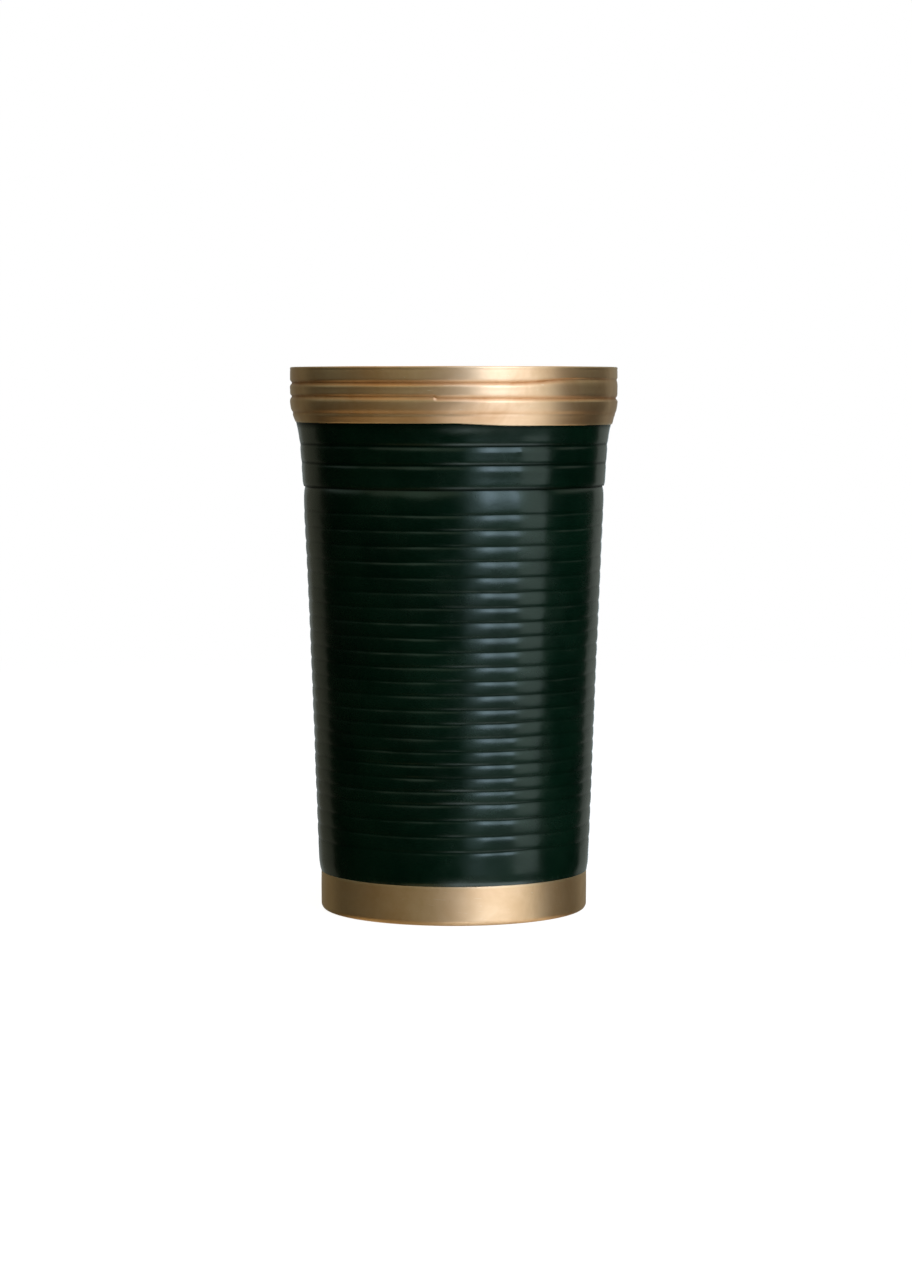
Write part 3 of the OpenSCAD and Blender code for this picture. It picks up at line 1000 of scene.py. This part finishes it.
def make_world():
    """A plain studio: white to the camera, and a dim room with soft lights to the cup."""
    world = bpy.data.worlds.new("studio")
    bpy.context.scene.world = world
    nodes = Nodes(world)
    ray = nodes.add("TexCoord").outputs["Generated"]
    x, y, z = nodes.add("SeparateXYZ", {0: ray}).outputs
    azimuth = nodes.math("ARCTAN2", x, nodes.math("MULTIPLY", y, -1))
    azimuth = nodes.math("MULTIPLY", azimuth, math.degrees(1))
    elevation = nodes.math("MULTIPLY", nodes.math("ARCSINE", z), math.degrees(1))
    light = nodes.blend(nodes.span(elevation, *CEILING_EDGE), (*ROOM, 1), (*CEILING, 1))
    light = nodes.blend(nodes.span(elevation, *TABLE_EDGE, 1, 0), light, (*TABLE, 1))
    for sides, side_edge, heights, height_edge, glow in SOFT_LIGHTS:
        middle = sum(sides) / 2
        half = (sides[1] - sides[0]) / 2
        offset = nodes.math("WRAP", nodes.math("SUBTRACT", azimuth, middle), 180, -180)
        offset = nodes.math("ABSOLUTE", offset)
        inside = nodes.span(offset, half - side_edge / 2, half + side_edge / 2, 1, 0)
        above = nodes.span(elevation, heights[0] - height_edge / 2, heights[0] + height_edge / 2)
        under = nodes.span(elevation, heights[1] - height_edge / 2, heights[1] + height_edge / 2, 1, 0)
        share = nodes.math("MULTIPLY", inside, nodes.math("MULTIPLY", above, under))
        light = nodes.blend(share, light, (*glow, 1))
    lit = nodes.add("Background", {"Color": light, "Strength": 1.0})
    white = nodes.add("Background", {"Color": WHITE, "Strength": 1.0})
    camera = nodes.add("LightPath").outputs["Is Camera Ray"]
    both = nodes.add("MixShader", {0: camera, 1: lit.outputs[0], 2: white.outputs[0]})
    nodes.show(both, "OutputWorld")
    world.cycles.sampling_method = "MANUAL"
    world.cycles.sample_map_resolution = 1024


LENS = 97.6                 # mm
SENSOR_W = 36               # mm
CAMERA_SIDE = 0.4 * MM
CAMERA_BACK = 6.4 * CUP_H * MM
CAMERA_UP = 0.965 * CUP_H * MM
AIM_UP = 0.4965 * CUP_H * MM


def make_camera():
    """A long lens at rim height, looking slightly down at the cup."""
    data = bpy.data.cameras.new("camera")
    data.lens = LENS
    data.sensor_width = SENSOR_W
    data.clip_start = 0.01
    data.clip_end = 20
    camera = bpy.data.objects.new("camera", data)
    bpy.context.scene.collection.objects.link(camera)
    camera.location = (CAMERA_SIDE, -CAMERA_BACK, CAMERA_UP)
    aim = Vector((CAMERA_SIDE, 0, AIM_UP))
    camera.rotation_mode = "QUATERNION"
    camera.rotation_quaternion = (aim - camera.location).to_track_quat("-Z", "Y")
    bpy.context.scene.camera = camera
    bpy.context.scene.view_settings.view_transform = "Standard"


# ---------------------------------------------------------------------------
# Put together
# ---------------------------------------------------------------------------

green_leather = leather("green_leather", tone(1, 17, 7), tone(5, 26, 13), tone(34, 52, 38))
lip_leather = leather(
    "lip_leather", tone(10, 28, 20), tone(24, 50, 38), tone(66, 76, 60), gloss=0.38, coat=0.15)
pad_leather = leather(
    "pad_leather", tone(10, 26, 18), tone(26, 46, 34), tone(64, 72, 58), gloss=0.5, coat=0.0, grain=0.5)
collar_brass = brass("collar_brass", tone(244, 205, 155), tone(207, 154, 99), 0.43, 0.68)
ferrule_brass = brass(
    "ferrule_brass", tone(246, 208, 155), tone(211, 162, 105), 0.47, 0.6, lines=0.004)
green_felt = felt("green_felt", tone(22, 44, 32), tone(58, 84, 62))

body_cover(green_leather)
neck_cover(green_leather)
rim_collar(collar_brass)
base_ferrule(ferrule_brass)
trip_lip(lip_leather)
lining_sleeve(green_felt)
floor_pad(green_felt)
base_pad(pad_leather)

core_board = board("core_board", tone(96, 74, 50), tone(150, 122, 88))
head_wood = turned_wood("head_wood", tone(120, 82, 46), tone(182, 136, 84))
hidden = {"core_tube": core_board, "core_floor": core_board, "head_ring": head_wood}
for node, material in hidden.items():
    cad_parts[node].data.materials.clear()
    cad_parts[node].data.materials.append(material)

make_floor()
make_world()
make_camera()
